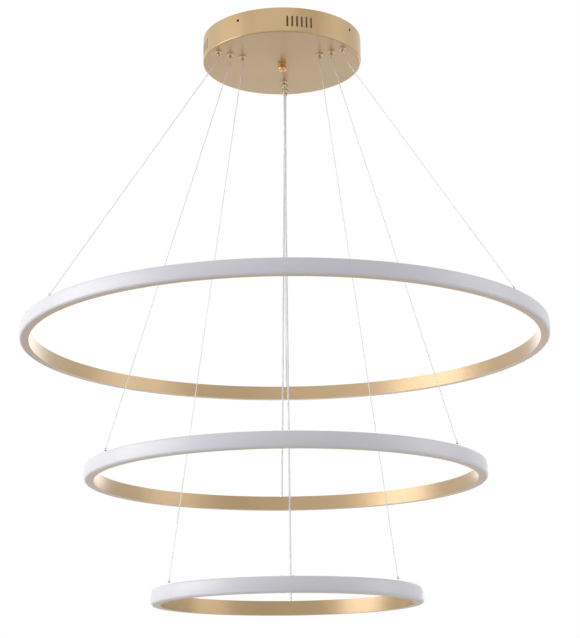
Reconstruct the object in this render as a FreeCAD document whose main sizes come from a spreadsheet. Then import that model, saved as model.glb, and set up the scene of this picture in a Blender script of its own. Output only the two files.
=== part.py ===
"""A three-tier ring chandelier.

A drum canopy is screwed to the ceiling. Three level light rings hang below it, the largest at the
top. Each ring hangs from two steel wires at its front left and front right and from a clear
load-bearing power cord at its back. The wires run up to spring-loaded grippers in the canopy.

Frame: millimetres, +Z up, the origin at the middle of the canopy's rim on the ceiling. The front of
the lamp faces -Y. An azimuth is counted from the front towards +X.
"""

import FreeCAD, Part
import math
import os

import Sketcher

Vector = FreeCAD.Vector
UP = Vector(0, 0, 1)

# ---------------------------------------------------------------------------------------------
# Driving dimensions: millimetres and degrees
# ---------------------------------------------------------------------------------------------

DIMENSIONS = {
    # canopy drum
    "canopy_diameter": 250,
    "canopy_height": 40,
    "canopy_wall": 1.2,
    "canopy_corner": 2,
    "canopy_azimuth": 57.5,
    "vent_width": 3.2,
    "vent_length": 17.6,
    "vent_drop": 22.4,
    "vent_step": 3.42,
    "side_hole_diameter": 4.4,
    "side_hole_drop": 12,
    # places of the grippers and glands: three in each radial row
    "gripper_wall_inset": 13,
    "gripper_pitch": 21,
    "gripper_hole_clearance": 0.1,
    "edge_chamfer": 0.5,
    # wire gripper
    "flange_diameter": 11.6,
    "flange_thickness": 1.6,
    "barrel_diameter": 8,
    "barrel_length": 14,
    "barrel_roof": 2,
    "nipple_diameter": 4.8,
    "nipple_clearance": 0.2,
    "nipple_reach": 8,
    "nipple_depth": 5,
    "nipple_chamfer": 0.8,
    "ball_diameter": 1.5,
    "spring_wire": 0.4,
    "spring_turns": 5,
    "spring_clearance": 0.1,
    "nut_across": 12,
    "nut_height": 4,
    # steel wire and power cord
    "wire_diameter": 1.2,
    "wire_passage": 1.8,
    "wire_lead_in": 5,
    "cord_diameter": 3,
    "cord_passage": 3.4,
    "cord_lead_in": 10,
    "gland_length": 6,
    "cap_diameter": 6.4,
    "cap_rounding": 1.2,
    # mounting bars
    "bar_width": 20,
    "bar_thickness": 2,
    "bar_tab": 20,
    "bar_gap": 0.5,
    "ceiling_hole_spacing": 150,
    "ceiling_hole_diameter": 5.5,
    "side_screw_diameter": 4,
    "side_screw_length": 6,
    "side_screw_socket_diameter": 2,
    "side_screw_socket_depth": 2,
    "rivet_diameter": 3,
    "rivet_head": 1,
    "rivet_spacing": 20,
    "earth_screw_radius": 34,
    "earth_screw_diameter": 4,
    "earth_head_overhang": 2,
    "earth_head_height": 2.5,
    "earth_tip_recess": 0.1,
    # centre stud and finial
    "stud_diameter": 6,
    "stud_reach": 6,
    "stud_clearance": 0.05,
    "stud_nut_across": 10,
    "stud_nut_height": 5,
    "washer_diameter": 12,
    "washer_thickness": 1,
    "washer_chamfer": 0.3,
    "finial_neck_diameter": 11,
    "finial_neck_length": 1.5,
    "finial_neck_chamfer": 0.4,
    "finial_knob_diameter": 13.5,
    "finial_knob_length": 7,
    "finial_shoulder": 0.6,
    "finial_rounding": 2.5,
    "finial_bore_depth": 6,
    # driver
    "driver_length": 110,
    "driver_width": 36,
    "driver_height": 24,
    "driver_wall": 1.6,
    "driver_lid": 1.6,
    "driver_row_gap": 9,
    "board_thickness": 1.6,
    "board_standoff": 3,
    "board_clearance": 0.5,
    "standoff_inset": 5,
    "standoff_diameter": 4,
    # terminal block
    "block_length": 28,
    "block_width": 16,
    "block_height": 13,
    "block_inset": 63,
    "terminal_pitch": 8,
    "terminal_screw_diameter": 3,
    "terminal_well_clearance": 0.1,
    "terminal_screw_sink": 1,
    "lead_diameter": 2.2,
    "lead_height": 20,
    "lead_pitch": 8,
    "lead_block_height": 3.25,
    "lead_block_exit": 9,
    "lead_block_rise": 2,
    "lead_corner_reach": 18,
    "lead_corner_inset": 22,
    "lead_driver_inset": 6,
    "lead_driver_exit": 14,
    "output_lead_exit": 12,
    # rings: diameter over the diffuser, drop of the channel's middle below the canopy
    "large_diameter": 800,
    "large_drop": 450,
    "large_left_azimuth": -57.5,
    "large_right_azimuth": 55,
    "large_back_azimuth": 179.7,
    "medium_diameter": 600,
    "medium_drop": 658,
    "medium_left_azimuth": -61.5,
    "medium_right_azimuth": 55.5,
    "medium_back_azimuth": 181.4,
    "small_diameter": 400,
    "small_drop": 838,
    "small_left_azimuth": -61.5,
    "small_right_azimuth": 54.5,
    "small_back_azimuth": 178.3,
    # ring section
    "channel_height": 22,
    "channel_depth": 10.5,
    "channel_wall": 1.2,
    "lip_thickness": 1,
    "lip_depth": 1.2,
    "seam_width": 0.4,
    "diffuser_bulge": 4.5,
    "diffuser_rim": 0.3,
    "diffuser_crown": 0.8,
    "diffuser_wall": 1.4,
    "diffuser_back_easing": 0.2,
    "diffuser_leg": 4,
    "fit_clearance": 0.15,
    "strip_height": 10,
    "strip_thickness": 0.3,
    "strip_glue": 0.15,
    "chip_length": 3.5,
    "chip_height": 2.8,
    "chip_thickness": 0.8,
    "splice_angle": 8,
    "splice_thickness": 1.2,
    "splice_inner_gap": 1.5,
    "splice_outer_reach": 2.4,
    "splice_screw_diameter": 2.4,
    "splice_screw_angle": 2.4,
    "splice_head_diameter": 4.6,
    "splice_head_top_diameter": 2.9,
    "splice_head_edge": 0.6,
    "splice_head_height": 1.1,
    # wire anchor and cord inlet on the rings
    "anchor_inset": 5.5,
    "anchor_ball_diameter": 4.8,
    "anchor_neck": 3,
    "anchor_shank_diameter": 3,
    "anchor_gap": 0.3,
    "anchor_collar_overhang": 1,
    "anchor_collar_height": 0.8,
    "anchor_head_height": 1.2,
    "inlet_diameter": 8,
    "inlet_height": 4,
    "inlet_spigot_diameter": 5,
    "inlet_spigot_reach": 1,
    "inlet_rounding": 1.5,
    "cord_inside_reach": 2,
}

RINGS = ("large", "medium", "small")
CHIP_COUNTS = {"large": 72, "medium": 54, "small": 36}
GRIPPER_PLACE = {"large": 2, "medium": 1, "small": 0}
SIDES = ("left", "right")
ROW_ANGLES = {"left": 240, "right": 0, "back": 120}
DRIVER_ANGLE = 60
BLOCK_ANGLE = -60
VENTS_IN_GROUP = 6
QUARTERS = 4
BALLS = 3
SPOTS_IN_ROW = 3
HEXAGON = 6
ANCHOR_WAIST = 0.7
FULL_TURN = 360
HALF_TURN = 180
QUARTER_TURN = 90
EIGHTH_TURN = 45

# a cut starts this far outside its piece and runs on as far past it
OVERCUT = 1
# an arc of half a turn is drawn with a radius this much over half its chord
ARC_SLACK = 1.0001
# a bend takes up this share of the shorter of its two runs
BEND_SHARE = 0.45
VOLUME_TOLERANCE = 0.01
ON_AXIS = 1e-9

# the driver's components: sizes and places as shares of the case's length, width and height
TRANSFORMER = (0.2, 0.5, 0.5)
CHOKE = (0.1, 0.35, 0.35)
CHOKE_PLACE = -0.22
CAPACITOR_RADIUS = 0.14
CAPACITOR_HEIGHT = 0.5
CAPACITOR_PLACES = ((0.2, 0.15), (0.32, -0.15), (-0.36, 0))

doc = FreeCAD.newDocument("ring_chandelier")
sheet = doc.addObject("Spreadsheet::Sheet", "sizes")
for row, (alias, number) in enumerate(DIMENSIONS.items(), start=1):
    sheet.set(f"A{row}", alias)
    sheet.set(f"B{row}", str(number))
    sheet.setAlias(f"B{row}", alias)
doc.recompute()


class Size:
    """A size with its value now and the formula over the sheet that gives it."""

    def __init__(self, value, text):
        self.value = value
        self.text = text

    def __add__(self, other):
        other = as_size(other)
        return Size(self.value + other.value, f"({self.text} + {other.text})")

    def __sub__(self, other):
        other = as_size(other)
        return Size(self.value - other.value, f"({self.text} - {other.text})")

    def __rsub__(self, other):
        return as_size(other) - self

    def __mul__(self, other):
        other = as_size(other)
        return Size(self.value * other.value, f"({self.text} * {other.text})")

    def __truediv__(self, other):
        other = as_size(other)
        return Size(self.value / other.value, f"({self.text} / {other.text})")

    def __neg__(self):
        return Size(-self.value, f"(0 - {self.text})")

    __radd__ = __add__
    __rmul__ = __mul__


def as_size(number):
    """A plain number as a Size; a Size as it is."""
    return number if isinstance(number, Size) else Size(float(number), f"({float(number)!r})")


def size(alias):
    """The named value in the sheet."""
    return Size(float(sheet.get(alias)), f"sizes.{alias}")


def cosine(angle):
    """The cosine of an angle in degrees."""
    angle = as_size(angle)
    return Size(math.cos(math.radians(angle.value)), f"cos({angle.text})")


def sine(angle):
    """The sine of an angle in degrees."""
    angle = as_size(angle)
    return Size(math.sin(math.radians(angle.value)), f"sin({angle.text})")


def root(length):
    """The square root of a Size."""
    return Size(math.sqrt(length.value), f"sqrt({length.text})")


# ---------------------------------------------------------------------------------------------
# Shared places, worked out from the driving dimensions
# ---------------------------------------------------------------------------------------------

canopy_radius = size("canopy_diameter") / 2
canopy_floor = -size("canopy_height")
canopy_floor_inside = canopy_floor + size("canopy_wall")
canopy_turn = size("canopy_azimuth") - QUARTER_TURN
barrel_radius = size("barrel_diameter") / 2
gripper_hole_radius = barrel_radius + size("gripper_hole_clearance")
stud_hole_radius = size("stud_diameter") / 2 + size("stud_clearance")
mouth_height = canopy_floor - size("nipple_reach")
upper_bar_floor = -size("bar_thickness")
lower_bar_floor = upper_bar_floor - size("bar_thickness")
tab_radius = canopy_radius - size("canopy_wall") - size("bar_gap")
block_radius = canopy_radius - size("block_inset")


def gripper_radius(place):
    """How far the gripper at a place in its row, counted from 0, lies from the middle."""
    last = canopy_radius - size("gripper_wall_inset")
    return last - size("gripper_pitch") * (SPOTS_IN_ROW - 1 - place)


def driver_middle():
    """How far the driver's middle lies from the canopy's: beside the first gland, with a gap."""
    gland_side = gripper_radius(0) * cosine(ROW_ANGLES["back"] - DRIVER_ANGLE)
    return gland_side + size("driver_row_gap") + size("driver_width") / 2


def ring_middle(ring):
    """Height of the middle of a ring's channel."""
    return canopy_floor - size(f"{ring}_drop")


def channel_outer(ring):
    """Radius of the channel's open side, where the diffuser starts to bulge."""
    return size(f"{ring}_diameter") / 2 - size("diffuser_bulge")


def channel_inner(ring):
    """Radius of the channel's closed inner side."""
    return channel_outer(ring) - size("channel_depth")


def anchor_radius(ring):
    """Radius at which wires and cord meet a ring."""
    return channel_outer(ring) - size("anchor_inset")


# ---------------------------------------------------------------------------------------------
# Drawing helpers
# ---------------------------------------------------------------------------------------------


def new_body(label):
    """An empty body with its own label."""
    body = doc.addObject("PartDesign::Body", label)
    body.Label = label
    return body


def bind(target, path, formula):
    """Bind one property of an object to a formula over the sheet."""
    target.setExpression(path, as_size(formula).text)


def place(target, across=0, deep=0, high=0, turn=0):
    """Bind an object's placement: a shift and a turn about the vertical."""
    bind(target, ".Placement.Base.x", across)
    bind(target, ".Placement.Base.y", deep)
    bind(target, ".Placement.Base.z", high)
    bind(target, ".Placement.Rotation.Angle", turn)


def new_sketch(body, name, role, lift=0, swing=None):
    """A sketch on one of the body's own planes, lifted along its normal or swung about its Y."""
    sketch = body.newObject("Sketcher::SketchObject", name)
    plane = [item for item in body.Origin.OriginFeatures if item.Role == role][0]
    sketch.AttachmentSupport = [(plane, "")]
    sketch.MapMode = "FlatFace"
    if swing is not None:
        sketch.AttachmentOffset = FreeCAD.Placement(
            Vector(), FreeCAD.Rotation(Vector(0, 1, 0), as_size(swing).value)
        )
        bind(sketch, ".AttachmentOffset.Rotation.Angle", swing)
    else:
        bind(sketch, ".AttachmentOffset.Base.z", lift)
    return sketch


def hold_point(sketch, index, end, across, high, name):
    """Tie one end of a sketch's edge to its coordinates in the sheet's values."""
    axes = (("DistanceX", "x", across, -2), ("DistanceY", "y", high, -1))
    for kind, letter, coordinate, axis in axes:
        coordinate = as_size(coordinate)
        if abs(coordinate.value) < ON_AXIS:
            sketch.addConstraint(Sketcher.Constraint("PointOnObject", index, end, axis))
            continue
        rule = Sketcher.Constraint(kind, -1, 1, index, end, coordinate.value)
        number = sketch.addConstraint(rule)
        sketch.renameConstraint(number, f"{name}_{letter}")
        bind(sketch, f"Constraints.{name}_{letter}", coordinate)


def arc_between(start, finish, radius):
    """The shorter arc from start to finish, anticlockwise for a positive radius."""
    half = (finish - start) * 0.5
    rise = math.sqrt(max(radius * radius - half.Length * half.Length, 0))
    side = Vector(-half.y, half.x, 0).normalize() * math.copysign(1, radius)
    centre = start + half + side * rise
    bulge = centre - side * abs(radius)
    return Part.Arc(start, bulge, finish)


def draw_outline(sketch, corners):
    """A closed outline through corners (x, y), or (x, y, radius) where an arc leads on.

    The arc runs anticlockwise where its radius is positive.
    """
    points = [Vector(as_size(c[0]).value, as_size(c[1]).value, 0) for c in corners]
    ends = []
    for number, corner in enumerate(corners):
        start = points[number]
        finish = points[(number + 1) % len(points)]
        if len(corner) == 3:
            radius = as_size(corner[2])
            index = sketch.addGeometry(arc_between(start, finish, radius.value), False)
            ends.append((index, (1, 2) if radius.value > 0 else (2, 1)))
            bulge = radius if radius.value > 0 else -radius
            rule = sketch.addConstraint(Sketcher.Constraint("Radius", index, bulge.value))
            sketch.renameConstraint(rule, f"bend_{number}")
            bind(sketch, f"Constraints.bend_{number}", bulge)
        else:
            index = sketch.addGeometry(Part.LineSegment(start, finish), False)
            ends.append((index, (1, 2)))
    for number, (index, (first, last)) in enumerate(ends):
        following, (follow_first, _) = ends[(number + 1) % len(ends)]
        rule = Sketcher.Constraint("Coincident", index, last, following, follow_first)
        sketch.addConstraint(rule)
        hold_point(sketch, index, first, corners[number][0], corners[number][1], f"p{number}")
    return sketch


def draw_circles(sketch, circles):
    """Circles given as (x, y, radius)."""
    for number, (across, high, radius) in enumerate(circles):
        middle = Vector(as_size(across).value, as_size(high).value, 0)
        circle = Part.Circle(middle, UP, as_size(radius).value)
        index = sketch.addGeometry(circle, False)
        hold_point(sketch, index, 3, across, high, f"c{number}")
        rule = sketch.addConstraint(Sketcher.Constraint("Radius", index, circle.Radius))
        sketch.renameConstraint(rule, f"radius_{number}")
        bind(sketch, f"Constraints.radius_{number}", radius)
    return sketch


def draw_rectangle(sketch, left, low, right, high):
    """A rectangle from its lower left corner to its upper right one."""
    return draw_outline(sketch, [(left, low), (right, low), (right, high), (left, high)])


def feature(body, kind, name, sketch, **settings):
    """A feature on a sketch, with its plain settings and its sheet-bound length or angle."""
    made = body.newObject(kind, name)
    made.Profile = sketch
    for key, value in settings.items():
        if isinstance(value, Size):
            bind(made, key, value)
        else:
            setattr(made, key, value)
    sketch.Visibility = False
    return made


def revolve(body, name, corners):
    """Turn an outline, drawn beside the vertical axis, into a round solid."""
    sketch = draw_outline(new_sketch(body, f"{name}_outline", "XZ_Plane"), corners)
    return feature(
        body, "PartDesign::Revolution", name, sketch, ReferenceAxis=(sketch, ["V_Axis"]), Angle=FULL_TURN
    )


def cut_down(body, name, sketch, depth):
    """Cut a sketch's shapes downwards from its plane."""
    return feature(body, "PartDesign::Pocket", name, sketch, Length=depth)


def polar(body, name, original, angle, count):
    """Repeat a feature about the vertical; the angle spans the whole set."""
    pattern = body.newObject("PartDesign::PolarPattern", name)
    pattern.Originals = [original]
    axis = [item for item in body.Origin.OriginFeatures if item.Role == "Z_Axis"][0]
    pattern.Axis = (axis, [""])
    if isinstance(angle, Size):
        bind(pattern, "Angle", angle)
    else:
        pattern.Angle = angle
    pattern.Occurrences = count
    return pattern


def copies(label, parts, turn=0, high=0):
    """One node of separate solids: parts lists (object, x, y, z, turn)."""
    links = []
    for number, (source, across, deep, height, spin) in enumerate(parts):
        link = doc.addObject("App::Link", f"{label}_{number}")
        link.LinkedObject = source
        link.LinkTransform = False
        place(link, across, deep, height, spin)
        links.append(link)
    group = doc.addObject("Part::Compound", label)
    group.Label = label
    group.Links = links
    place(group, high=high, turn=turn)
    return group


def polar_place(source, radius, angle, high=0, spin=None):
    """One entry for copies(): a part at a radius and an angle, turned to face outwards."""
    spin = angle if spin is None else spin
    return (source, cosine(angle) * radius, sine(angle) * radius, high, spin)


def plain_box(label, long, wide, tall):
    """A box centred on the vertical axis that stands on its local floor."""
    body = new_body(label)
    sketch = new_sketch(body, f"{label}_outline", "XY_Plane")
    half_long = as_size(long) / 2
    half_wide = as_size(wide) / 2
    draw_rectangle(sketch, -half_long, -half_wide, half_long, half_wide)
    feature(body, "PartDesign::Pad", f"{label}_pad", sketch, Length=as_size(tall))
    return body


def tube_path(points):
    """Straight runs joined by tangent arcs, each as wide as its two runs allow.

    Each radius is a set share of the shorter run, divided by the tangent of half the turn.
    """
    edges = []
    radii = []
    start = points[0]
    for before, here, after in zip(points, points[1:], points[2:]):
        back = before - here
        ahead = after - here
        reach = BEND_SHARE * min(back.Length, ahead.Length)
        turn = math.pi - back.getAngle(ahead)
        radii.append(reach / math.tan(turn / 2))
        back.normalize()
        ahead.normalize()
        enter = here + back * reach
        leave = here + ahead * reach
        inwards = (back + ahead).normalize()
        centre = here + inwards * (radii[-1] / math.cos(turn / 2))
        middle = centre - inwards * radii[-1]
        edges.append(Part.LineSegment(start, enter).toShape())
        edges.append(Part.Arc(enter, middle, leave).toShape())
        start = leave
    edges.append(Part.LineSegment(start, points[-1]).toShape())
    return Part.Wire(edges), radii


def tube(points, diameter):
    """A round tube solid along points, and the radii of its bends."""
    path, radii = tube_path(points)
    first = path.Edges[0]
    along = first.tangentAt(first.FirstParameter)
    circle = Part.Circle(points[0], along, diameter / 2)
    section = Part.Wire([circle.toShape()])
    solid = Part.Solid(path.makePipeShell([section], True, False))
    ideal = math.pi * diameter**2 / 4 * path.Length
    if abs(solid.Volume - ideal) > VOLUME_TOLERANCE * ideal:
        raise RuntimeError(f"tube volume {solid.Volume:.1f} is not {ideal:.1f}")
    return solid, radii


def solid_node(label, shapes):
    """A node whose solids are worked out here and not drawn."""
    node = doc.addObject("Part::Feature", label)
    node.Label = label
    node.Shape = Part.makeCompound(shapes) if len(shapes) > 1 else shapes[0]
    node.Placement = FreeCAD.Placement()
    return node


# ---------------------------------------------------------------------------------------------
# Canopy drum
# ---------------------------------------------------------------------------------------------


def make_canopy_cup():
    """The spun drum, open at the ceiling, with its holes and vents."""
    body = new_body("canopy_cup")
    wall = size("canopy_wall")
    corner = size("canopy_corner")
    inner = canopy_radius - wall
    revolve(
        body,
        "drum",
        [
            (0, canopy_floor),
            (canopy_radius - corner, canopy_floor, corner),
            (canopy_radius, canopy_floor + corner),
            (canopy_radius, 0),
            (inner, 0),
            (inner, canopy_floor + corner, -(corner - wall)),
            (canopy_radius - corner, canopy_floor_inside),
            (0, canopy_floor_inside),
        ],
    )
    holes = [(0, 0, stud_hole_radius + size("gripper_hole_clearance"))]
    for angle in ROW_ANGLES.values():
        for spot in range(SPOTS_IN_ROW):
            radius = gripper_radius(spot)
            holes.append((cosine(angle) * radius, sine(angle) * radius, gripper_hole_radius))
    sketch = new_sketch(body, "floor_holes", "XY_Plane", lift=canopy_floor_inside + OVERCUT)
    cut_down(body, "floor_cut", draw_circles(sketch, holes), wall + OVERCUT * 2)
    side = new_sketch(body, "side_hole", "YZ_Plane")
    draw_circles(side, [(0, -size("side_hole_drop"), size("side_hole_diameter") / 2)])
    reach = canopy_radius + OVERCUT
    cut = feature(body, "PartDesign::Pocket", "side_cut", side, Length=reach, Reversed=True)
    body.Tip = polar(body, "side_cuts", cut, FULL_TURN, QUARTERS)
    span = size("vent_step") * (VENTS_IN_GROUP - 1)
    slot = new_sketch(body, "vent", "YZ_Plane", swing=-EIGHTH_TURN - span / 2)
    half_width = size("vent_width") / 2
    top = half_width + (size("vent_length") / 2 - size("vent_width")) - size("vent_drop")
    low = -size("vent_drop") - size("vent_length") / 2 + half_width
    round_end = half_width * ARC_SLACK
    draw_outline(
        slot,
        [
            (half_width, low),
            (half_width, top, round_end),
            (-half_width, top),
            (-half_width, low, round_end),
        ],
    )
    vent = feature(body, "PartDesign::Pocket", "vent_cut", slot, Length=reach, Reversed=True)
    multi = body.newObject("PartDesign::MultiTransform", "vents")
    multi.Originals = [vent]
    group = polar(body, "vent_group", vent, span, VENTS_IN_GROUP)
    quarter = polar(body, "vent_quarters", vent, FULL_TURN, QUARTERS)
    group.Originals = []
    quarter.Originals = []
    multi.Transformations = [group, quarter]
    body.Tip = multi
    place(body, turn=canopy_turn)
    return body


def make_bar(label, top, turn, with_ceiling_holes):
    """One mounting bar, flat under the ceiling, with its ends bent down behind the side holes."""
    body = new_body(label)
    thick = size("bar_thickness")
    side = new_sketch(body, f"{label}_side", "XZ_Plane")
    draw_outline(
        side,
        [
            (-tab_radius, top),
            (-tab_radius, top - size("bar_tab")),
            (thick - tab_radius, top - size("bar_tab")),
            (thick - tab_radius, top - thick),
            (tab_radius - thick, top - thick),
            (tab_radius - thick, top - size("bar_tab")),
            (tab_radius, top - size("bar_tab")),
            (tab_radius, top),
        ],
    )
    feature(body, "PartDesign::Pad", f"{label}_pad", side, Length=size("bar_width"), Midplane=True)
    doc.recompute()
    holes = [(0, 0, stud_hole_radius)]
    for sign in (-1, 1):
        rivet_radius = size("rivet_diameter") / 2 + size("stud_clearance")
        diagonal = size("rivet_spacing") / 2 * sign * cosine(EIGHTH_TURN)
        if with_ceiling_holes:
            holes.append((diagonal, diagonal, rivet_radius))
            across = size("ceiling_hole_spacing") / 2 * sign
            holes.append((across, 0, size("ceiling_hole_diameter") / 2))
        else:
            holes.append((diagonal, -diagonal, rivet_radius))
    if not with_ceiling_holes:
        earth_hole = size("earth_screw_diameter") / 2 + size("stud_clearance")
        holes.append((size("earth_screw_radius"), 0, earth_hole))
    sketch = new_sketch(body, f"{label}_holes", "XY_Plane", lift=top + OVERCUT)
    cut_down(body, f"{label}_cut", draw_circles(sketch, holes), thick + OVERCUT * 2)
    tapped = new_sketch(body, f"{label}_tapped", "YZ_Plane")
    screw_hole = size("side_screw_diameter") / 2 + size("stud_clearance")
    draw_circles(tapped, [(0, -size("side_hole_drop"), screw_hole)])
    reach = (canopy_radius + OVERCUT) * 2
    feature(body, "PartDesign::Pocket", f"{label}_taps", tapped, Length=reach, Midplane=True)
    place(body, turn=canopy_turn + turn)
    return body


def make_fixings():
    """Rivets, side screws, centre stud with its nut, and earth screw."""
    rivet = new_body("rivet")
    shank = size("rivet_diameter") / 2
    head = shank + size("rivet_head")
    under = lower_bar_floor - size("rivet_head")
    recess = size("stud_clearance")
    revolve(
        rivet,
        "rivet_turning",
        [(0, under), (head, under), (head, lower_bar_floor), (shank, lower_bar_floor),
         (shank, -recess), (0, -recess)],
    )
    reach = size("rivet_spacing") / 2
    copies(
        "bar_rivets",
        [polar_place(rivet, reach, EIGHTH_TURN), polar_place(rivet, reach, EIGHTH_TURN + HALF_TURN)],
        turn=canopy_turn,
    )
    screw = new_body("side_screw")
    radius = size("side_screw_diameter") / 2
    blank = new_sketch(screw, "side_screw_end", "YZ_Plane")
    draw_circles(blank, [(0, -size("side_hole_drop"), radius)])
    feature(screw, "PartDesign::Pad", "side_screw_pad", blank, Length=size("side_screw_length"))
    head = size("side_screw_length") + OVERCUT
    socket = new_sketch(screw, "side_screw_socket", "YZ_Plane", lift=head)
    draw_circles(socket, [(0, -size("side_hole_drop"), size("side_screw_socket_diameter") / 2)])
    cut_down(screw, "side_screw_cut", socket, size("side_screw_socket_depth") + OVERCUT)
    start = canopy_radius - size("canopy_wall") / 2 - size("side_screw_length")
    places = [polar_place(screw, start, QUARTER_TURN * quarter) for quarter in range(QUARTERS)]
    copies("side_screws", places, turn=canopy_turn)
    stud = new_body("centre_stud")
    stud_radius = size("stud_diameter") / 2
    low = canopy_floor - size("stud_reach")
    chamfer = size("edge_chamfer")
    revolve(
        stud,
        "stud_turning",
        [(0, low), (stud_radius - chamfer, low), (stud_radius, low + chamfer), (stud_radius, -recess),
         (0, -recess)],
    )
    place(stud)
    nut = make_nut("stud_nut", size("stud_nut_across"), size("stud_nut_height"), stud_hole_radius)
    place(nut, high=lower_bar_floor - size("stud_nut_height"))
    earth = new_body("earth_screw")
    thread = size("earth_screw_diameter") / 2
    head = thread + size("earth_head_overhang")
    under = lower_bar_floor - size("earth_head_height")
    tip = upper_bar_floor - size("earth_tip_recess")
    revolve(
        earth,
        "earth_turning",
        [(0, under), (head, under), (head, lower_bar_floor), (thread, lower_bar_floor), (thread, tip),
         (0, tip)],
    )
    spot = size("earth_screw_radius")
    angle = canopy_turn + QUARTER_TURN
    place(earth, across=cosine(angle) * spot, deep=sine(angle) * spot)


def make_nut(label, across, high, hole):
    """A hexagon nut that stands on its local floor."""
    body = new_body(label)
    circumradius = across / 2 / cosine(HALF_TURN / HEXAGON)
    corners = []
    for number in range(HEXAGON):
        angle = FULL_TURN / HEXAGON * number
        corners.append((cosine(angle) * circumradius, sine(angle) * circumradius))
    sketch = draw_outline(new_sketch(body, f"{label}_hexagon", "XY_Plane"), corners)
    feature(body, "PartDesign::Pad", f"{label}_pad", sketch, Length=high)
    bore = new_sketch(body, f"{label}_bore", "XY_Plane", lift=high + OVERCUT)
    cut_down(body, f"{label}_cut", draw_circles(bore, [(0, 0, hole)]), high + OVERCUT * 2)
    return body


# ---------------------------------------------------------------------------------------------
# Wire grippers and cord glands
# ---------------------------------------------------------------------------------------------


def make_grippers():
    """Six sleeves with their springs, release nipples and balls, and nine lock nuts."""
    flange = size("flange_diameter") / 2
    thick = size("flange_thickness")
    nipple = size("nipple_diameter") / 2
    bore = nipple + size("nipple_clearance")
    passage = size("wire_passage") / 2
    length = size("barrel_length")
    roof = length - size("barrel_roof")
    chamfer = size("edge_chamfer")
    sleeve = new_body("gripper_sleeve")
    revolve(
        sleeve,
        "sleeve_turning",
        [(bore, -thick), (flange - chamfer, -thick), (flange, chamfer - thick), (flange, 0),
         (barrel_radius, 0), (barrel_radius, length), (passage, length), (passage, roof), (bore, roof)],
    )
    plunger = new_body("release_nipple")
    reach = size("nipple_reach")
    edge = size("nipple_chamfer")
    revolve(
        plunger,
        "nipple_turning",
        [(passage, -reach), (nipple - edge, -reach), (nipple, edge - reach),
         (nipple, size("nipple_depth")), (passage, size("nipple_depth"))],
    )
    ball = new_body("locking_ball")
    ball_radius = size("ball_diameter") / 2
    revolve(
        ball,
        "ball_turning",
        [(0, -ball_radius, ball_radius), (ball_radius, 0, ball_radius), (0, ball_radius)],
    )
    spring = new_body("gripper_spring")
    loose = size("spring_clearance")
    coil = nipple - size("spring_wire") / 2 - loose
    low = size("nipple_depth") + size("ball_diameter") + size("spring_wire")
    tall = roof - low - size("spring_wire") / 2 - loose
    section = new_sketch(spring, "spring_section", "XZ_Plane")
    draw_circles(section, [(coil, low, size("spring_wire") / 2)])
    helix = body_helix(spring, section, tall / size("spring_turns"), tall)
    helix.Visibility = True
    nut = make_nut("lock_nut", size("nut_across"), size("nut_height"), gripper_hole_radius)
    sleeves = []
    springs = []
    nuts = []
    for row, angle in ROW_ANGLES.items():
        for spot in range(SPOTS_IN_ROW):
            nuts.append(polar_place(nut, gripper_radius(spot), angle))
            if row != "back":
                sleeves.append(polar_place(sleeve, gripper_radius(spot), angle))
                springs.append(polar_place(spring, gripper_radius(spot), angle))
    copies("gripper_sleeves", sleeves, turn=canopy_turn, high=canopy_floor)
    copies("gripper_springs", springs, turn=canopy_turn, high=canopy_floor)
    copies("gripper_lock_nuts", nuts, turn=canopy_turn, high=canopy_floor_inside)
    ball_circle = ball_radius + passage
    ball_height = size("nipple_depth") + ball_radius
    for ring in RINGS:
        for side in SIDES:
            radius = gripper_radius(GRIPPER_PLACE[ring])
            angle = ROW_ANGLES[side]
            across = cosine(angle) * radius
            deep = sine(angle) * radius
            pieces = [(plunger, across, deep, 0, 0)]
            for number in range(BALLS):
                about = FULL_TURN / BALLS * number
                ball_across = across + cosine(about) * ball_circle
                ball_deep = deep + sine(about) * ball_circle
                pieces.append((ball, ball_across, ball_deep, ball_height, 0))
            copies(f"release_nipple_{ring}_{side}", pieces, turn=canopy_turn, high=canopy_floor)


def body_helix(body, section, pitch, tall):
    """Wind a section round the vertical axis."""
    helix = body.newObject("PartDesign::AdditiveHelix", "winding")
    helix.Profile = section
    helix.ReferenceAxis = (section, ["V_Axis"])
    helix.Mode = 0
    bind(helix, "Pitch", pitch)
    bind(helix, "Height", tall)
    return helix


def make_glands():
    """Three cord glands at the back: a flanged body and a domed cap on each."""
    flange = size("flange_diameter") / 2
    thick = size("flange_thickness")
    passage = size("cord_passage") / 2
    length = size("gland_length")
    chamfer = size("edge_chamfer")
    gland = new_body("cord_gland")
    revolve(
        gland,
        "gland_turning",
        [(passage, -thick), (flange - chamfer, -thick), (flange, chamfer - thick), (flange, 0),
         (barrel_radius, 0), (barrel_radius, length), (passage, length)],
    )
    cap = new_body("gland_cap")
    radius = size("cap_diameter") / 2
    reach = size("nipple_reach")
    rounding = size("cap_rounding")
    revolve(
        cap,
        "cap_turning",
        [(passage, -reach), (radius - rounding, -reach, rounding), (radius, rounding - reach),
         (radius, -thick), (passage, -thick)],
    )
    glands = []
    caps = []
    for spot in range(SPOTS_IN_ROW):
        glands.append(polar_place(gland, gripper_radius(spot), ROW_ANGLES["back"]))
        caps.append(polar_place(cap, gripper_radius(spot), ROW_ANGLES["back"]))
    copies("cord_glands", glands, turn=canopy_turn, high=canopy_floor)
    copies("gland_caps", caps, turn=canopy_turn, high=canopy_floor)


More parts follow.
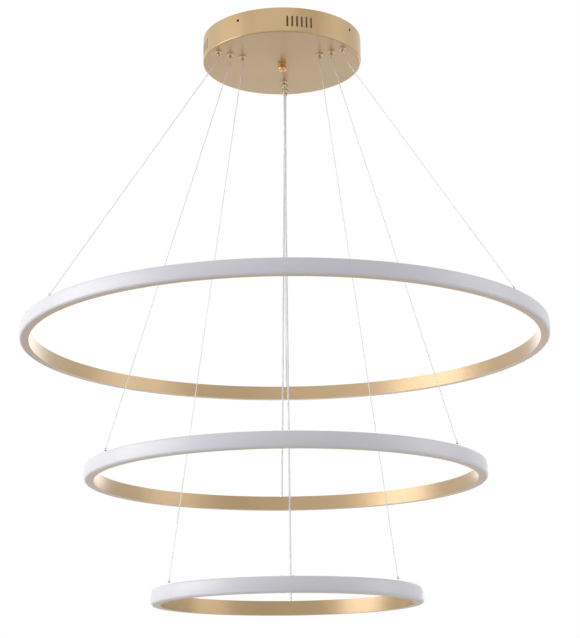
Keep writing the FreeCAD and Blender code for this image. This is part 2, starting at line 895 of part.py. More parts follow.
def make_finial():
    """The washer and the turned thumb nut under the canopy's middle."""
    washer = new_body("finial_washer")
    hole = stud_hole_radius + size("gripper_hole_clearance")
    rim = size("washer_diameter") / 2
    thick = size("washer_thickness")
    chamfer = size("washer_chamfer")
    revolve(
        washer,
        "washer_turning",
        [(hole, -thick), (rim - chamfer, -thick), (rim, chamfer - thick), (rim, 0), (hole, 0)],
    )
    place(washer, high=canopy_floor)
    nut = new_body("finial_nut")
    neck = size("finial_neck_diameter") / 2
    knob = size("finial_knob_diameter") / 2
    shoulder = -size("finial_neck_length")
    low = shoulder - size("finial_knob_length")
    waist = shoulder - size("finial_shoulder")
    rounding = size("finial_rounding")
    edge = size("finial_neck_chamfer")
    roof = -size("finial_bore_depth")
    revolve(
        nut,
        "finial_turning",
        [(0, low), (knob - rounding, low, rounding), (knob, low + rounding), (knob, waist),
         (knob - size("finial_shoulder"), shoulder), (neck, shoulder), (neck, -edge), (neck - edge, 0),
         (stud_hole_radius, 0), (stud_hole_radius, roof), (0, roof)],
    )
    place(nut, high=canopy_floor - thick)


# ---------------------------------------------------------------------------------------------
# Driver, terminal block and leads inside the canopy
# ---------------------------------------------------------------------------------------------

def make_driver():
    """The driver's open case, its lid, and the board with its components."""
    long = size("driver_length")
    wide = size("driver_width")
    tall = size("driver_height")
    wall = size("driver_wall")
    radius = driver_middle()
    spot = {
        "across": cosine(canopy_turn + DRIVER_ANGLE) * radius,
        "deep": sine(canopy_turn + DRIVER_ANGLE) * radius,
        "turn": canopy_turn + DRIVER_ANGLE + QUARTER_TURN,
    }
    case = plain_box("driver_case", long, wide, tall)
    doc.recompute()
    inside = new_sketch(case, "driver_inside", "XY_Plane", lift=tall)
    draw_rectangle(inside, wall - long / 2, wall - wide / 2, long / 2 - wall, wide / 2 - wall)
    cut_down(case, "driver_hollow", inside, tall - wall)
    place(case, high=canopy_floor_inside, **spot)
    lid = plain_box("driver_lid", long, wide, size("driver_lid"))
    place(lid, high=canopy_floor_inside + tall, **spot)
    margin = (wall + size("board_clearance")) * 2
    board_high = canopy_floor_inside + wall + size("board_standoff")
    board = plain_box("driver_board", long - margin, wide - margin, size("board_thickness"))
    stand = new_sketch(board, "standoffs", "XY_Plane")
    foot = size("standoff_diameter") / 2
    foot_along = long / 2 - wall - size("standoff_inset")
    foot_sideways = wide / 2 - wall - size("standoff_inset")
    feet = [(foot_along * x, foot_sideways * y, foot) for x in (-1, 1) for y in (-1, 1)]
    draw_circles(stand, feet)
    gap = size("board_standoff")
    feature(board, "PartDesign::Pad", "standoff_pads", stand, Length=gap, Reversed=True)
    place(board, high=board_high, **spot)
    top = board_high + size("board_thickness")
    case_sizes = (long, wide, tall)
    transformer = plain_box("transformer", *[a * b for a, b in zip(case_sizes, TRANSFORMER)])
    choke = plain_box("choke", *[a * b for a, b in zip(case_sizes, CHOKE)])
    capacitor = new_body("capacitor")
    can = new_sketch(capacitor, "can", "XY_Plane")
    draw_circles(can, [(0, 0, wide * CAPACITOR_RADIUS)])
    feature(capacitor, "PartDesign::Pad", "can_pad", can, Length=tall * CAPACITOR_HEIGHT)
    parts = [(transformer, 0, 0, 0, 0), (choke, long * CHOKE_PLACE, 0, 0, 0)]
    parts += [(capacitor, long * along, wide * sideways, 0, 0) for along, sideways in CAPACITOR_PLACES]
    group = copies("driver_components", parts)
    place(group, high=top, **spot)


def make_terminal_block():
    """The three-pole block for the supply, with its screws."""
    long = size("block_length")
    wide = size("block_width")
    tall = size("block_height")
    pitch = size("terminal_pitch")
    spot = {
        "across": cosine(canopy_turn + BLOCK_ANGLE) * block_radius,
        "deep": sine(canopy_turn + BLOCK_ANGLE) * block_radius,
        "turn": canopy_turn + BLOCK_ANGLE + QUARTER_TURN,
    }
    block = plain_box("terminal_block", long, wide, tall)
    doc.recompute()
    thread = size("terminal_screw_diameter") / 2
    well = thread + size("terminal_well_clearance")
    wells = [(pitch * pole, wide / 4 * side, well) for pole in (-1, 0, 1) for side in (-1, 1)]
    top = new_sketch(block, "wells", "XY_Plane", lift=tall)
    cut_down(block, "well_cut", draw_circles(top, wells), tall / 2)
    place(block, high=canopy_floor_inside, **spot)
    screw = new_body("terminal_screw")
    head = new_sketch(screw, "terminal_screw_head", "XY_Plane")
    draw_circles(head, [(0, 0, thread)])
    depth = tall / 2 - size("terminal_screw_sink")
    feature(screw, "PartDesign::Pad", "terminal_screw_pad", head, Length=depth)
    group = copies("terminal_screws", [(screw, across, deep, 0, 0) for across, deep, _ in wells])
    place(group, high=canopy_floor_inside + tall / 2, **spot)


def canopy_point(radius, angle, along, high):
    """A point in the canopy: at a radius and angle, then shifted along the tangent there."""
    turned = math.radians(canopy_turn.value + angle)
    outwards = Vector(math.cos(turned), math.sin(turned), 0)
    tangent = Vector(-outwards.y, outwards.x, 0)
    return outwards * radius + tangent * along + UP * high


def make_leads():
    """Leads from the block to the driver, and from the driver down through the three glands."""
    height = -size("lead_height").value
    pitch = size("lead_pitch").value
    radius = driver_middle().value
    end = size("driver_length").value / 2
    entry = radius - size("lead_driver_inset").value
    before = -end - size("lead_driver_exit").value
    beyond = end + size("output_lead_exit").value
    block = block_radius.value
    corner = block - size("lead_corner_inset").value
    block_end = size("block_length").value / 2
    clear = block_end + size("lead_block_exit").value
    turning = block_end + size("lead_corner_reach").value
    low = canopy_floor_inside.value + size("lead_block_height").value
    risen = low + size("lead_block_rise").value
    reports = []
    supply = []
    for side in (-1, 1):
        shift = pitch / 2 * side
        points = [
            canopy_point(block + shift, BLOCK_ANGLE, block_end, low),
            canopy_point(block + shift, BLOCK_ANGLE, clear, risen),
            canopy_point(corner + shift, BLOCK_ANGLE, turning, height),
            canopy_point(entry + shift, DRIVER_ANGLE, before, height),
            canopy_point(entry + shift, DRIVER_ANGLE, -end, height),
        ]
        solid, radii = tube(points, size("lead_diameter").value)
        supply.append(solid)
        reports.append(("supply lead", radii))
    solid_node("driver_input_leads", supply)
    outputs = []
    for spot in range(SPOTS_IN_ROW):
        gland = canopy_point(gripper_radius(spot).value, ROW_ANGLES["back"], 0, 0)
        shift = pitch * (spot - 1)
        points = [
            gland + UP * mouth_height.value,
            gland + UP * height,
            canopy_point(radius + shift, DRIVER_ANGLE, beyond, height),
            canopy_point(radius + shift, DRIVER_ANGLE, end, height),
        ]
        solid, radii = tube(points, size("cord_diameter").value)
        outputs.append(solid)
        reports.append(("driver lead", radii))
    solid_node("driver_output_leads", outputs)
    return reports


# ---------------------------------------------------------------------------------------------
# Rings
# ---------------------------------------------------------------------------------------------


def ring_angles(ring):
    """Azimuths of the left and right wires and of the cord, as angles from +X."""
    names = ("left", "right", "back")
    return {name: size(f"{ring}_{name}_azimuth") - QUARTER_TURN for name in names}


def make_channel(ring):
    """The rolled channel, open outwards, with lips, a seam at the front and its holes."""
    body = new_body(f"{ring}_channel")
    outer = channel_outer(ring)
    inner = channel_inner(ring)
    wall = size("channel_wall")
    half = size("channel_height") / 2
    lip = size("lip_depth")
    depth = size("lip_thickness")
    revolve(
        body,
        "section",
        [
            (inner, -half),
            (outer, -half),
            (outer, wall + lip - half),
            (outer - depth, wall + lip - half),
            (outer - depth, wall - half),
            (inner + wall, wall - half),
            (inner + wall, half - wall),
            (outer - depth, half - wall),
            (outer - depth, half - wall - lip),
            (outer, half - wall - lip),
            (outer, half),
            (inner, half),
        ],
    )
    seam = new_sketch(body, "seam", "XY_Plane", lift=half + OVERCUT)
    gap = size("seam_width") / 2
    draw_rectangle(seam, -gap, -outer - OVERCUT, gap, as_size(OVERCUT) - inner)
    cut_down(body, "seam_cut", seam, (half + OVERCUT) * 2)
    angles = ring_angles(ring)
    spot = anchor_radius(ring)
    clearance = size("stud_clearance")
    shank = size("anchor_shank_diameter") / 2 + clearance
    spigot = size("inlet_spigot_diameter") / 2 + clearance
    holes = [
        (cosine(angles["left"]) * spot, sine(angles["left"]) * spot, shank),
        (cosine(angles["right"]) * spot, sine(angles["right"]) * spot, shank),
        (cosine(angles["back"]) * spot, sine(angles["back"]) * spot, spigot),
    ]
    screw = size("splice_screw_diameter") / 2 + clearance
    for sign in (-1, 1):
        angle = size("splice_screw_angle") * sign - QUARTER_TURN
        holes.append((cosine(angle) * spot, sine(angle) * spot, screw))
    top = new_sketch(body, "top_holes", "XY_Plane", lift=half + OVERCUT)
    cut_down(body, "top_cut", draw_circles(top, holes), wall * 2 + OVERCUT)
    place(body, high=ring_middle(ring))
    return body


def make_diffuser(ring):
    """The white cover: a bulging skin with two legs behind the channel's lips."""
    body = new_body(f"{ring}_diffuser")
    base = channel_outer(ring) + size("fit_clearance")
    face = channel_outer(ring) + size("diffuser_bulge")
    half = size("channel_height") / 2
    wall = size("diffuser_wall")
    crown = size("diffuser_crown")
    corner = size("diffuser_bulge") - crown - size("diffuser_rim")
    shoulder = face - crown
    flat = half - corner
    hook = half - size("channel_wall") - size("lip_depth") - size("fit_clearance")
    leg = channel_outer(ring) - size("diffuser_leg")
    start = shoulder - corner
    face_radius = (flat * flat + crown * crown) / (crown * 2)
    inside = flat - size("diffuser_back_easing")
    dip = crown - size("diffuser_back_easing")
    back_radius = (inside * inside + dip * dip) / (dip * 2)
    revolve(
        body,
        "skin",
        [
            (base, -half),
            (start, -half, corner),
            (shoulder, -flat, face_radius),
            (shoulder, flat, corner),
            (start, half),
            (base, half),
            (base, hook),
            (leg, hook),
            (leg, hook - wall),
            (base, hook - wall),
            (shoulder - wall, inside, -back_radius),
            (shoulder - wall, -inside),
            (base, wall - hook),
            (leg, wall - hook),
            (leg, -hook),
            (base, -hook),
        ],
    )
    place(body, high=ring_middle(ring))
    return body


def make_led_strip(ring):
    """The strip on the channel's inner wall, with its chips facing outwards."""
    radius = channel_inner(ring).value + size("channel_wall").value + size("strip_glue").value
    tall = size("strip_height").value
    thick = size("strip_thickness").value
    base = ring_middle(ring).value - tall / 2
    outside = Part.makeCylinder(radius + thick, tall, Vector(0, 0, base))
    strip = outside.cut(Part.makeCylinder(radius, tall, Vector(0, 0, base)))
    long = size("chip_length").value
    high = size("chip_height").value
    deep = size("chip_thickness").value
    sag = long * long / 8 / radius
    solids = [strip]
    step = FULL_TURN / CHIP_COUNTS[ring]
    for number in range(CHIP_COUNTS[ring]):
        corner = Vector(radius + thick, -long / 2, ring_middle(ring).value - high / 2)
        chip = Part.makeBox(deep + sag, long, high, corner)
        chip.rotate(Vector(), UP, step * (number + 0.5) - QUARTER_TURN)
        solids.append(chip)
    solid_node(f"{ring}_led_strip", solids)


def make_splice(ring):
    """The plate under the top flange that bridges the seam, and its two screws."""
    body = new_body(f"{ring}_splice_plate")
    half = size("channel_height") / 2
    top = half - size("channel_wall")
    inner = channel_inner(ring) + size("channel_wall") + size("splice_inner_gap")
    outer = anchor_radius(ring) + size("splice_outer_reach")
    sketch = new_sketch(body, "plate_section", "XZ_Plane")
    draw_rectangle(sketch, inner, top - size("splice_thickness"), outer, top)
    feature(
        body, "PartDesign::Revolution", "plate", sketch,
        ReferenceAxis=(sketch, ["V_Axis"]), Angle=size("splice_angle"), Midplane=True,
    )
    spot = anchor_radius(ring)
    radius = size("splice_screw_diameter") / 2
    angle = size("splice_screw_angle")
    hole = radius + size("stud_clearance")
    holes = [(cosine(angle) * spot, sine(angle) * spot * sign, hole) for sign in (-1, 1)]
    above = new_sketch(body, "plate_holes", "XY_Plane", lift=top + OVERCUT)
    cut_down(body, "plate_cut", draw_circles(above, holes), size("splice_thickness") + OVERCUT * 2)
    place(body, high=ring_middle(ring), turn=-QUARTER_TURN)
    screw = new_body(f"{ring}_splice_screw")
    low = top - size("splice_thickness")
    head = size("splice_head_diameter") / 2
    head_top = size("splice_head_top_diameter") / 2
    edge = half + size("splice_head_edge")
    crest = half + size("splice_head_height")
    revolve(
        screw,
        "screw_turning",
        [(0, low), (radius, low), (radius, half), (head, half), (head, edge), (head_top, crest),
         (0, crest)],
    )
    places = [polar_place(screw, spot, angle), polar_place(screw, spot, -angle)]
    copies(f"{ring}_splice_screws", places, turn=-QUARTER_TURN, high=ring_middle(ring))


def make_anchors(ring):
    """The two wire anchors and the cord's inlet on the ring's top."""
    half = size("channel_height") / 2
    wall = size("channel_wall")
    anchor = new_body(f"{ring}_wire_anchor")
    shank = size("anchor_shank_diameter") / 2
    ball = size("anchor_ball_diameter") / 2
    neck = half + size("anchor_neck")
    waist = shank * ANCHOR_WAIST
    middle = neck + root(ball * ball - waist * waist)
    collar = shank + size("anchor_collar_overhang")
    collar_top = half + size("anchor_collar_height")
    under = half - wall
    head_low = under - size("anchor_head_height")
    revolve(
        anchor,
        "anchor_turning",
        [
            (0, head_low),
            (collar, head_low),
            (collar, under),
            (shank, under),
            (shank, half),
            (collar, half),
            (collar, collar_top),
            (waist, collar_top),
            (waist, neck, ball),
            (ball, middle, ball),
            (0, middle + ball),
        ],
    )
    angles = ring_angles(ring)
    spot = anchor_radius(ring)
    places = [polar_place(anchor, spot, angles[side]) for side in SIDES]
    copies(f"{ring}_wire_anchors", places, high=ring_middle(ring))
    inlet = new_body(f"{ring}_cord_inlet")
    passage = size("cord_passage") / 2
    outer = size("inlet_diameter") / 2
    spigot = size("inlet_spigot_diameter") / 2
    top = half + size("inlet_height")
    low = under - size("inlet_spigot_reach")
    rounding = size("inlet_rounding")
    revolve(
        inlet,
        "inlet_turning",
        [(passage, low), (spigot, low), (spigot, half), (outer, half),
         (outer, top - rounding, rounding), (outer - rounding, top), (passage, top)],
    )
    place(inlet, cosine(angles["back"]) * spot, sine(angles["back"]) * spot, ring_middle(ring))


def make_suspension(ring):
    """The two taut steel wires and the taut power cord of one ring."""
    reports = []
    wire = size("wire_diameter").value
    cord = size("cord_diameter").value
    angles = ring_angles(ring)
    spot = anchor_radius(ring).value
    ring_top = ring_middle(ring).value + size("channel_height").value / 2
    ball = size("anchor_ball_diameter").value / 2
    waist = size("anchor_shank_diameter").value / 2 * ANCHOR_WAIST
    ball_high = ring_top + size("anchor_neck").value + math.sqrt(ball**2 - waist**2)
    row_place = gripper_radius(GRIPPER_PLACE[ring]).value
    mouth_high = mouth_height.value
    for side in SIDES:
        mouth = canopy_point(row_place, ROW_ANGLES[side], 0, mouth_high)
        turned = math.radians(angles[side].value)
        middle = Vector(math.cos(turned) * spot, math.sin(turned) * spot, ball_high)
        bend = mouth - UP * size("wire_lead_in").value
        towards = (bend - middle).normalize()
        finish = middle + towards * (ball + size("anchor_gap").value)
        start = mouth - UP * size("anchor_gap").value
        solid, radii = tube([start, bend, finish], wire)
        solid_node(f"{ring}_wire_{side}", [solid])
        reports.append((f"{ring} wire {side}", radii))
    mouth = canopy_point(row_place, ROW_ANGLES["back"], 0, mouth_high)
    turned = math.radians(angles["back"].value)
    foot = Vector(math.cos(turned) * spot, math.sin(turned) * spot, ring_top)
    lead_in = size("cord_lead_in").value
    points = [
        mouth,
        mouth - UP * lead_in,
        foot + UP * (size("inlet_height").value + lead_in / 2),
        foot - UP * (size("channel_wall") + size("cord_inside_reach")).value,
    ]
    solid, radii = tube(points, cord)
    solid_node(f"{ring}_power_cord", [solid])
    reports.append((f"{ring} power cord", radii))
    return reports


# ---------------------------------------------------------------------------------------------
# Build, check and write
# ---------------------------------------------------------------------------------------------

RING_PARTS = (
    "channel", "diffuser", "led_strip", "splice_plate", "splice_screws", "wire_anchors",
    "cord_inlet", "wire_left", "wire_right", "power_cord",
)
CANOPY_PARTS = (
    "canopy_cup", "mounting_bar_upper", "mounting_bar_lower", "bar_rivets", "side_screws",
    "centre_stud", "stud_nut", "earth_screw", "gripper_sleeves", "gripper_springs",
    "gripper_lock_nuts", "cord_glands", "gland_caps", "finial_washer", "finial_nut",
    "driver_case", "driver_lid", "driver_board", "driver_components", "terminal_block",
    "terminal_screws", "driver_input_leads", "driver_output_leads",
)


def node_names():
    """Every sub-part's label, which is also its file's name."""
    names = list(CANOPY_PARTS)
    names += [f"release_nipple_{ring}_{side}" for ring in RINGS for side in SIDES]
    names += [f"{ring}_{part}" for ring in RINGS for part in RING_PARTS]
    return names


def check_document(names):
    """Stop if any object failed or any sub-part has no valid shape."""
    for item in doc.Objects:
        if "Invalid" in item.State or "Error" in item.State:
            raise RuntimeError(f"{item.Label} failed: {item.State}")
    for name in names:
        found = doc.getObjectsByLabel(name)
        if len(found) != 1:
            raise RuntimeError(f"{name}: {len(found)} objects have this label")
        shape = found[0].Shape
        if shape.isNull() or not shape.isValid() or not shape.Solids:
            raise RuntimeError(f"{name} has no valid solid")


def write_parts(names):
    """One STEP file for each sub-part."""
    os.makedirs("parts", exist_ok=True)
    for name in names:
        shape = doc.getObjectsByLabel(name)[0].Shape
        shape.exportStep(f"parts/{name}.step")
        print(f"{name}: {len(shape.Solids)} solids, {shape.Volume:.1f} mm3")


make_canopy_cup()
make_bar("mounting_bar_upper", as_size(0), 0, True)
make_bar("mounting_bar_lower", upper_bar_floor, QUARTER_TURN, False)
make_fixings()
make_grippers()
make_glands()
make_finial()
make_driver()
make_terminal_block()
bends = make_leads()
for ring_name in RINGS:
    make_channel(ring_name)
    make_diffuser(ring_name)
    make_led_strip(ring_name)
    make_splice(ring_name)
    make_anchors(ring_name)
    bends += make_suspension(ring_name)
doc.recompute()
labels = node_names()
check_document(labels)
write_parts(labels)
for what, radii in bends:
    print(what, "bend radii", [round(radius, 1) for radius in radii])
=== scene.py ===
# %% [markdown]
# # A three-tier ring chandelier
#
# A champagne-gold drum is screwed to the ceiling. Three level rings of light hang below it on thin
# steel wires and clear power cords. The metal pieces come from the measured model; this lesson
# gives every one of them its finish, makes the wires, cords and springs as surfaces worked out
# with arrays, and sets up the camera and a plain white studio.

# %% Load the measured model
import math

import bpy
import numpy as np
from mathutils import Matrix, Vector


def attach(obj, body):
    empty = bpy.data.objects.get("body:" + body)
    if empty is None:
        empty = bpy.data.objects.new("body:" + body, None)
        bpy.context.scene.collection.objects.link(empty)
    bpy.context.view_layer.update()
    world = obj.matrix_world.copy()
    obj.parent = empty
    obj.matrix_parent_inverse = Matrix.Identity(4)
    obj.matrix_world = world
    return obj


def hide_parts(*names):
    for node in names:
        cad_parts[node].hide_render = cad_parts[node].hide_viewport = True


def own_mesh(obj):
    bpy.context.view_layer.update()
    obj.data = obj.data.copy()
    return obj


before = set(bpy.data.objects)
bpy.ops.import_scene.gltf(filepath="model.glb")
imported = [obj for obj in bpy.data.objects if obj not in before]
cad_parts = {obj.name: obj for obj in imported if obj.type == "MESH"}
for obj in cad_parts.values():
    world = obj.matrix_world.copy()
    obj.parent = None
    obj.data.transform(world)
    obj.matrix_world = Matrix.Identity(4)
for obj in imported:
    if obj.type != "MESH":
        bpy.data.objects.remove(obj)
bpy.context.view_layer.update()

RINGS = ("large", "medium", "small")
SIDES = ("left", "right")
MM = 0.001
print("pieces in the model:", len(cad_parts))

# %% [markdown]
# ## The camera
#
# The photograph looks up at the lamp from below its lowest ring: the near half of each ring shows
# its white outside and the far half its gold inside. The camera's distance, height and focal
# length were worked out from the ellipses of the canopy and the rings. The focal length is in
# pixels of the photograph, which is 580 pixels wide and 638 high, and the roll is a turn of the
# picture of about half a degree.

# %% Camera at the photograph's place
PHOTO_HEIGHT = 638
FOCAL_PIXELS = 1662.6
SENSOR = 36.0
CAMERA_PLACE = Vector((-0.0012, -2.4532, -1.0993))
CAMERA_YAW = -0.0038
CAMERA_PITCH = 0.2558
CAMERA_ROLL = 0.0109


def camera_axes(yaw, pitch, roll):
    """Right, up and forward of a camera that looks along +Y, then is turned, raised and rolled."""
    right = Vector((math.cos(yaw), math.sin(yaw), 0))
    level = Vector((-math.sin(yaw), math.cos(yaw), 0))
    forward = level * math.cos(pitch) + Vector((0, 0, math.sin(pitch)))
    up = right.cross(forward)
    return (
        right * math.cos(roll) - up * math.sin(roll),
        right * math.sin(roll) + up * math.cos(roll),
        forward,
    )


right_axis, up_axis, forward_axis = camera_axes(CAMERA_YAW, CAMERA_PITCH, CAMERA_ROLL)
camera_data = bpy.data.cameras.new("camera")
camera_data.sensor_width = SENSOR
camera_data.lens = FOCAL_PIXELS / PHOTO_HEIGHT * SENSOR
camera_data.clip_end = 50
camera = bpy.data.objects.new("camera", camera_data)
turned = Matrix((right_axis, up_axis, -forward_axis)).transposed().to_4x4()
camera.matrix_world = Matrix.Translation(CAMERA_PLACE) @ turned
bpy.context.scene.collection.objects.link(camera)
bpy.context.scene.camera = camera
print("lens:", round(camera_data.lens, 1), "mm")

# %% [markdown]
# ## Tubes along a line
#
# Wires, cords and springs are all tubes. A ring of points is carried along a line, and the rows of
# points are joined into four-sided faces. The line of a wire or a cord is a smooth spline, and the
# line of a spring is a helix worked out from its angle.

# %% Helpers that turn arrays of points into meshes
END_CORNER = 40


def tube_faces(rows, sides):
    """Faces between rows of points, closed round: face (j, i) joins points i and i+1 of rows j
    and j+1, where the point after the last of a row is its first."""
    j, i = np.meshgrid(np.arange(rows - 1), np.arange(sides), indexing="ij")
    next_i = (i + 1) % sides
    corners = (j * sides + i, j * sides + next_i, (j + 1) * sides + next_i, (j + 1) * sides + i)
    return np.stack([corner.ravel() for corner in corners], axis=1)


def set_uv(piece, along, around):
    """A UV map from two arrays with one value per vertex: u along the piece and v round it."""
    mesh = piece.data
    layer = mesh.uv_layers.new(name="along_round")
    corner = np.empty(len(mesh.loops), dtype=np.int64)
    mesh.loops.foreach_get("vertex_index", corner)
    uv = np.stack([along.ravel()[corner], around.ravel()[corner]], axis=1)
    layer.data.foreach_set("uv", uv.ravel())


def frames_along(line):
    """Unit sideways axes at each point of a line: its run crossed with the world axis that the run
    comes least near to, and the cross product of the two."""
    step = np.gradient(line, axis=0)
    ahead = step / np.linalg.norm(step, axis=1, keepdims=True)
    helper = np.eye(3)[np.argmin(np.abs(ahead).max(axis=0))]
    first = np.cross(ahead, helper)
    first /= np.linalg.norm(first, axis=1, keepdims=True)
    return first, np.cross(ahead, first)


def tube_points(line, radius, sides):
    """Points of a tube: line point + radius times (cosine of the angle times one axis + sine times
    the other), for equal angles round."""
    first, second = frames_along(line)
    angle = np.arange(sides) / sides * 2 * np.pi
    ring = first[:, None] * np.cos(angle)[None, :, None] + second[:, None] * np.sin(angle)[None, :, None]
    return line[:, None] + ring * radius


def smooth_line(route, name, detail=24):
    """Points read from the smooth spline that has the route's points as its controls."""
    curve = bpy.data.curves.new(name, "CURVE")
    curve.dimensions = "3D"
    curve.resolution_u = detail
    spline = curve.splines.new("NURBS")
    spline.points.add(len(route) - 1)
    spline.points.foreach_set("co", np.c_[np.array(route), np.ones(len(route))].ravel())
    spline.order_u = 3
    spline.use_endpoint_u = True
    holder = bpy.data.objects.new(name, curve)
    mesh = bpy.data.meshes.new_from_object(holder)
    line = np.empty(len(mesh.vertices) * 3)
    mesh.vertices.foreach_get("co", line)
    bpy.data.objects.remove(holder)
    bpy.data.curves.remove(curve)
    bpy.data.meshes.remove(mesh)
    return line.reshape(-1, 3)


def line_length(line):
    """Sum of the distances between neighbouring points."""
    return float(np.linalg.norm(np.diff(line, axis=0), axis=1).sum())


def tube_piece(name, line, radius, sides, body):
    """A tube with closed ends, its UV map counting metres along and turns round."""
    points = tube_points(line, radius, sides)
    rows = len(line)
    faces = tube_faces(rows, sides).tolist()
    faces.append(list(range(sides))[::-1])
    faces.append(list(range((rows - 1) * sides, rows * sides)))
    mesh = bpy.data.meshes.new(name)
    mesh.from_pydata(points.reshape(-1, 3).tolist(), [], faces)
    mesh.shade_smooth()
    mesh.set_sharp_from_angle(angle=math.radians(END_CORNER))
    piece = bpy.data.objects.new(name, mesh)
    bpy.context.scene.collection.objects.link(piece)
    metres = np.r_[0, np.cumsum(np.linalg.norm(np.diff(line, axis=0), axis=1))]
    along = np.repeat(metres[:, None], sides, axis=1)
    around = np.repeat(np.arange(sides)[None] / sides, rows, axis=0)
    set_uv(piece, along, around)
    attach(piece, body)
    return piece


# %% [markdown]
# ## Steel wires and clear power cords
#
# Each ring hangs from two taut steel wires at its front and one clear cord at its back, which
# carries the current and its share of the weight. They leave the grippers straight down for a few
# millimetres and then run straight to the ring. The routes repeat the points of the measured
# model: the mouth of the gripper, the bend below it, and the anchor on the ring.
#
# When a ring is raised, its wires slide up through the grippers. Here they are drawn together
# towards the mouth instead, which looks the same from below.

# %% Where the wires and cords run
MOUTH_HEIGHT = -48.0
GRIPPER_RADIUS = {"large": 112.0, "medium": 91.0, "small": 70.0}
ROW_AZIMUTH = {"left": -62.5, "right": 57.5, "back": 177.5}
RING_HEIGHT = {"large": -490.0, "medium": -698.0, "small": -878.0}
ANCHOR_RADIUS = {"large": 390.0, "medium": 290.0, "small": 190.0}
ANCHOR_AZIMUTH = {
    "large": {"left": -57.5, "right": 55.0, "back": 179.7},
    "medium": {"left": -61.5, "right": 55.5, "back": 181.4},
    "small": {"left": -61.5, "right": 54.5, "back": 178.3},
}
RING_TOP = 11.0
ANCHOR_NECK = 3.0
ANCHOR_BALL_RISE = 2.16
ANCHOR_BALL_HEIGHT = RING_TOP + ANCHOR_NECK + ANCHOR_BALL_RISE
ANCHOR_BALL_REACH = 2.7
WIRE_DIAMETER = 1.2
WIRE_LEAD_IN = 5.0
WIRE_GAP = 0.3
WIRE_SIDES = 10
CORD_DIAMETER = 3.0
CORD_LEAD_IN = 10.0
CORD_SIDES = 20
INLET_HEIGHT = 4.0
CHANNEL_WALL = 1.2
CORD_INSIDE_REACH = 2.0
STEADY = 6.0


def round_point(radius, azimuth, height):
    """A point at a radius and a height, its azimuth counted from the front towards +X."""
    turn = math.radians(azimuth)
    return Vector((radius * math.sin(turn), -radius * math.cos(turn), height))


def on_the_run(start, finish, distance):
    """The point that far from start on the way to finish."""
    return start + (finish - start).normalized() * distance


def wire_route(ring, side):
    """Mouth, bend, a point that keeps the long run straight, and the anchor's ball."""
    mouth = round_point(GRIPPER_RADIUS[ring], ROW_AZIMUTH[side], MOUTH_HEIGHT)
    bend = mouth - Vector((0, 0, WIRE_LEAD_IN))
    ball = round_point(
        ANCHOR_RADIUS[ring], ANCHOR_AZIMUTH[ring][side], RING_HEIGHT[ring] + ANCHOR_BALL_HEIGHT
    )
    end = on_the_run(ball, bend, ANCHOR_BALL_REACH)
    start = mouth - Vector((0, 0, WIRE_GAP))
    return [start, bend, on_the_run(bend, end, STEADY * WIRE_DIAMETER), end]


def cord_route(ring):
    """Mouth, bend, two points that keep the long run straight, the inlet and the way into it."""
    mouth = round_point(GRIPPER_RADIUS[ring], ROW_AZIMUTH["back"], MOUTH_HEIGHT)
    bend = mouth - Vector((0, 0, CORD_LEAD_IN))
    foot = round_point(ANCHOR_RADIUS[ring], ANCHOR_AZIMUTH[ring]["back"], RING_HEIGHT[ring] + RING_TOP)
    over = foot + Vector((0, 0, INLET_HEIGHT + CORD_LEAD_IN / 2))
    end = foot - Vector((0, 0, CHANNEL_WALL + CORD_INSIDE_REACH))
    steady = STEADY * CORD_DIAMETER
    return [mouth, bend, on_the_run(bend, over, steady), on_the_run(over, bend, steady), over, end]


# %% Make the wires and the cords
wires = []
cords = []
for ring in RINGS:
    for side in SIDES:
        route = [list(point * MM) for point in wire_route(ring, side)]
        line = smooth_line(route, f"{ring}_{side}_line")
        wire = tube_piece(f"steel_wire_{ring}_{side}", line, WIRE_DIAMETER * MM / 2, WIRE_SIDES, "canopy")
        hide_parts(f"{ring}_wire_{side}")
        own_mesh(wire)
        wires.append(wire)
    route = [list(point * MM) for point in cord_route(ring)]
    line = smooth_line(route, f"{ring}_cord_line")
    cord = tube_piece(f"clear_cord_{ring}", line, CORD_DIAMETER * MM / 2, CORD_SIDES, "canopy")
    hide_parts(f"{ring}_power_cord")
    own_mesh(cord)
    cords.append(cord)
    print(ring, "cord length:", round(line_length(line), 3), "m")

# %% [markdown]
# Behind every release nipple a small coil spring keeps the locking balls wedged on the wire. The
# model has the six springs at rest in one node. Here each is a coil of its own, at rest round
# its gripper's middle.

# %% A coil spring in each gripper
UNDERSIDE = -40.0
COIL_RADIUS = 2.1
COIL_LOW = 6.9
COIL_HEIGHT = 4.8
COIL_TURNS = 5
COIL_WIRE = 0.4
COIL_SIDES = 8


def coil_line(ring, side, detail=28):
    """Points round a gripper's middle: the height grows evenly with the angle turned."""
    middle = round_point(GRIPPER_RADIUS[ring], ROW_AZIMUTH[side], UNDERSIDE + COIL_LOW)
    turned = np.linspace(0, COIL_TURNS, COIL_TURNS * detail + 1)
    angle = math.radians(ROW_AZIMUTH[side] - 90) + turned * 2 * np.pi
    rise = turned / COIL_TURNS * COIL_HEIGHT
    line = np.stack([COIL_RADIUS * np.cos(angle), COIL_RADIUS * np.sin(angle), rise], axis=1)
    return (line + np.array(middle)) * MM


springs = []
for ring in RINGS:
    for side in SIDES:
        line = coil_line(ring, side)
        spring = tube_piece(f"coil_spring_{ring}_{side}", line, COIL_WIRE / 2 * MM, COIL_SIDES, "canopy")
        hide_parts("gripper_springs")
        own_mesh(spring)
        springs.append(spring)
print("springs:", len(springs))

# %% [markdown]
# ## The studio
#
# The photograph has a pure white background and soft light from above and from both sides, with
# little light from the camera's own side, so the white covers shade to a cool grey where they face
# the viewer. White is shown to the camera and to reflections by asking the light path which kind
# of ray is looking; the light on the object itself stays at a plain level.

